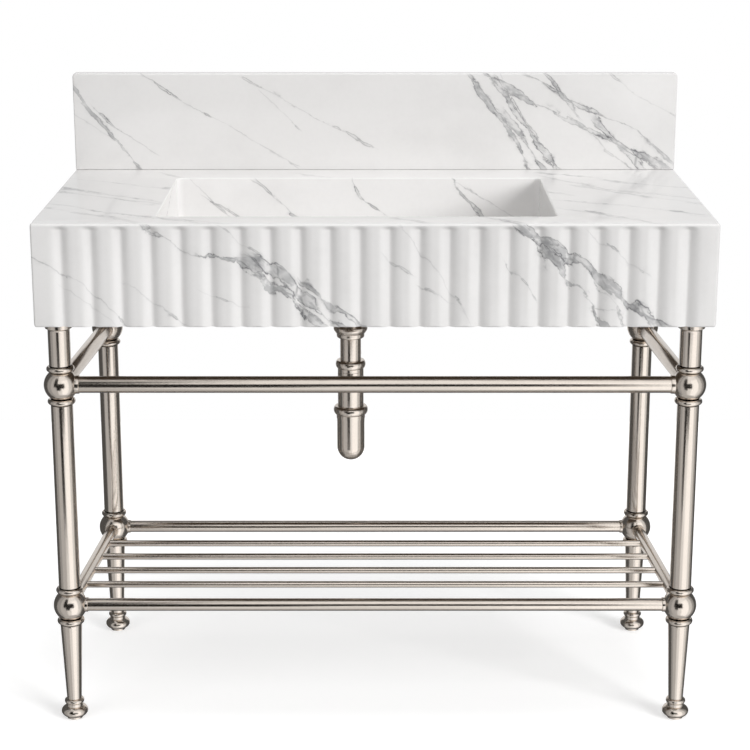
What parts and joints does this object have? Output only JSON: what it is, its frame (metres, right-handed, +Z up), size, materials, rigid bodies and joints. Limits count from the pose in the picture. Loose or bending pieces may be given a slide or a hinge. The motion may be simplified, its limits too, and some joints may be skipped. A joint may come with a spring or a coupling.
{
  "type": "console sink",
  "caption": "Marble console sink with a reeded front, inset rectangular basin and backsplash on a turned nickel stand with rails and a slatted shelf",
  "frame": {"origin": "on the floor, under the middle of the stone top", "axes": "+X along the front to the right, +Y from the front to the wall, +Z up"},
  "size_m": [1.15, 0.54, 1.1],
  "materials": {
    "marble": "polished, grey veins",
    "nickel": "polished nickel plate on brass",
    "board": "dark sealed plywood",
    "steel": "zinc plated",
    "rubber": "matt"
  },
  "bodies": {
    "console": {"top_slab": "marble", "front_apron": "marble", "left_apron": "marble", "right_apron": "marble", "rear_apron": "marble", "backsplash": "marble", "basin_bowl": "marble", "underside_panel": "board", "corner_blocks": "board", "leg_studs": "steel", "front_left_leg_top": "nickel", "front_left_upper_ball": "nickel", "front_left_leg_tube": "nickel", "front_left_lower_ball": "nickel", "front_left_tapered_leg": "nickel", "front_right_leg_top": "nickel", "front_right_upper_ball": "nickel", "front_right_leg_tube": "nickel", "front_right_lower_ball": "nickel", "front_right_tapered_leg": "nickel", "rear_left_leg_top": "nickel", "rear_left_upper_ball": "nickel", "rear_left_leg_tube": "nickel", "rear_left_lower_ball": "nickel", "rear_left_tapered_leg": "nickel", "rear_right_leg_top": "nickel", "rear_right_upper_ball": "nickel", "rear_right_leg_tube": "nickel", "rear_right_lower_ball": "nickel", "rear_right_tapered_leg": "nickel", "upper_front_rail": "nickel", "upper_left_rail": "nickel", "upper_right_rail": "nickel", "lower_front_rail": "nickel", "lower_rear_rail": "nickel", "lower_left_rail": "nickel", "lower_right_rail": "nickel", "shelf_bar_1": "nickel", "shelf_bar_2": "nickel", "shelf_bar_3": "nickel", "shelf_bar_4": "nickel", "rail_collars": "nickel", "waste_body": "nickel", "waste_lock_nut": "nickel", "outlet_collar": "nickel", "tailpiece": "nickel", "inlet_nut": "nickel", "trap_body": "nickel", "trap_arm": "nickel", "wall_flange": "nickel", "waste_gasket": "rubber"},
    "stopper": {"drain_stopper": "nickel"},
    "cup": {"trap_cup": "nickel", "trap_ring": "nickel", "cup_seal": "rubber"},
    "front_left_foot": {"front_left_foot": "nickel"},
    "front_right_foot": {"front_right_foot": "nickel"},
    "rear_left_foot": {"rear_left_foot": "nickel"},
    "rear_right_foot": {"rear_right_foot": "nickel"}
  },
  "joints": [
    {"name": "stopper_lift", "type": "slide", "parent": "console", "child": "stopper", "axis": [0, 0, 1], "range_m": [0, 0.01]},
    {"name": "cup_drop", "type": "slide", "parent": "console", "child": "cup", "axis": [0, 0, -1], "range_m": [0, 0.08]},
    {"name": "front_left_foot_turn", "type": "hinge", "parent": "console", "child": "front_left_foot", "pos_m": [-0.541, -0.225, 0], "axis": [0, 0, 1], "range_deg": [0, 360]},
    {"name": "front_right_foot_turn", "type": "hinge", "parent": "console", "child": "front_right_foot", "pos_m": [0.541, -0.225, 0], "axis": [0, 0, 1], "range_deg": [0, 360]},
    {"name": "rear_left_foot_turn", "type": "hinge", "parent": "console", "child": "rear_left_foot", "pos_m": [-0.514, 0.169, 0], "axis": [0, 0, 1], "range_deg": [0, 360]},
    {"name": "rear_right_foot_turn", "type": "hinge", "parent": "console", "child": "rear_right_foot", "pos_m": [0.514, 0.169, 0], "axis": [0, 0, 1], "range_deg": [0, 360]}
  ]
}
